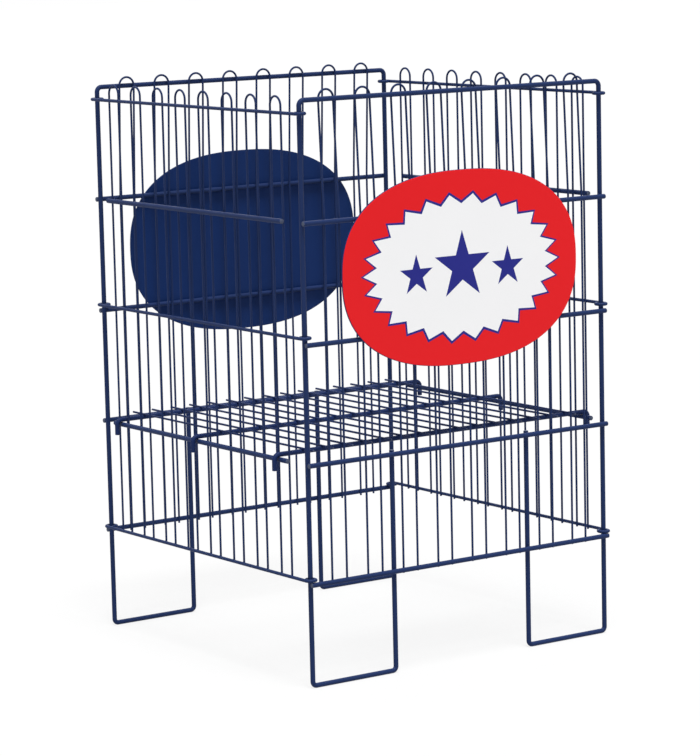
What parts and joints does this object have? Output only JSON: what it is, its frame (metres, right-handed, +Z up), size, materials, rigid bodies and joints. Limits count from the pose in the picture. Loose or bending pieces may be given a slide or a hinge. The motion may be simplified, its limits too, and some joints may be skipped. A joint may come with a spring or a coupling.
{
  "type": "wire basket display table",
  "caption": "Folding wire basket on bent wire legs, with hinged hairpin panels, a hooked-in wire shelf and an oval sign on the front and on the back.",
  "frame": {"origin": "on the floor under the middle of the basket", "axes": "+Z up, +X to the right seen from the front, the front panel faces -Y"},
  "size_m": [0.6482, 0.6314, 0.9457],
  "materials": {
    "wire_coat": "navy powder coat on steel wire",
    "shelf_coat": "navy powder coat on steel wire",
    "sign_board": "navy powder-coated sheet steel",
    "printed_face": "screen-printed rigid PVC sheet, satin"
  },
  "bodies": {
    "front_panel": {"front_frame": "wire_coat", "front_rail_1": "wire_coat", "front_rail_2": "wire_coat", "front_rail_3": "wire_coat", "front_rail_4": "wire_coat", "front_hairpin_1": "wire_coat", "front_hairpin_2": "wire_coat", "front_hairpin_3": "wire_coat", "front_hairpin_4": "wire_coat", "front_hairpin_5": "wire_coat", "front_hairpin_6": "wire_coat", "front_hairpin_7": "wire_coat", "front_hairpin_8": "wire_coat", "front_sign_board": "sign_board", "front_sign_face": "printed_face"},
    "rear_panel": {"rear_frame": "wire_coat", "rear_rail_1": "wire_coat", "rear_rail_2": "wire_coat", "rear_rail_3": "wire_coat", "rear_rail_4": "wire_coat", "rear_hairpin_1": "wire_coat", "rear_hairpin_2": "wire_coat", "rear_hairpin_3": "wire_coat", "rear_hairpin_4": "wire_coat", "rear_hairpin_5": "wire_coat", "rear_hairpin_6": "wire_coat", "rear_hairpin_7": "wire_coat", "rear_hairpin_8": "wire_coat", "rear_sign_board": "sign_board", "rear_sign_face": "printed_face"},
    "left_panel": {"left_hinge_wire_bottom": "wire_coat", "left_hinge_wire_middle": "wire_coat", "left_hinge_wire_top": "wire_coat", "left_bar_lower": "wire_coat", "left_bar_upper": "wire_coat", "left_hairpin_1": "wire_coat", "left_hairpin_2": "wire_coat", "left_hairpin_3": "wire_coat", "left_hairpin_4": "wire_coat", "left_hairpin_5": "wire_coat", "left_hairpin_6": "wire_coat", "left_hairpin_7": "wire_coat", "left_hairpin_8": "wire_coat"},
    "right_panel": {"right_hinge_wire_bottom": "wire_coat", "right_hinge_wire_middle": "wire_coat", "right_hinge_wire_top": "wire_coat", "right_bar_lower": "wire_coat", "right_bar_upper": "wire_coat", "right_hairpin_1": "wire_coat", "right_hairpin_2": "wire_coat", "right_hairpin_3": "wire_coat", "right_hairpin_4": "wire_coat", "right_hairpin_5": "wire_coat", "right_hairpin_6": "wire_coat", "right_hairpin_7": "wire_coat", "right_hairpin_8": "wire_coat"},
    "shelf": {"shelf": "shelf_coat"}
  },
  "joints": [
    {"name": "left_fold", "type": "hinge", "parent": "front_panel", "child": "left_panel", "pos_m": [-0.3, -0.3, 0], "axis": [0, 0, 1], "range_deg": [-0.5, 0.5]},
    {"name": "right_fold", "type": "hinge", "parent": "front_panel", "child": "right_panel", "pos_m": [0.3, -0.3, 0], "axis": [0, 0, 1], "range_deg": [-0.5, 0.5]},
    {"name": "rear_fold", "type": "hinge", "parent": "left_panel", "child": "rear_panel", "pos_m": [-0.3, 0.3, 0], "axis": [0, 0, 1], "range_deg": [-0.5, 0.5]},
    {"name": "shelf_tilt", "type": "hinge", "parent": "left_panel", "child": "shelf", "pos_m": [-0.30975, 0, 0.3607], "axis": [0, -1, 0], "range_deg": [0, 60]}
  ],
  "couplings": [
    {"joint": "right_fold", "follows": "left_fold", "ratio": 1},
    {"joint": "rear_fold", "follows": "left_fold", "ratio": -1}
  ]
}
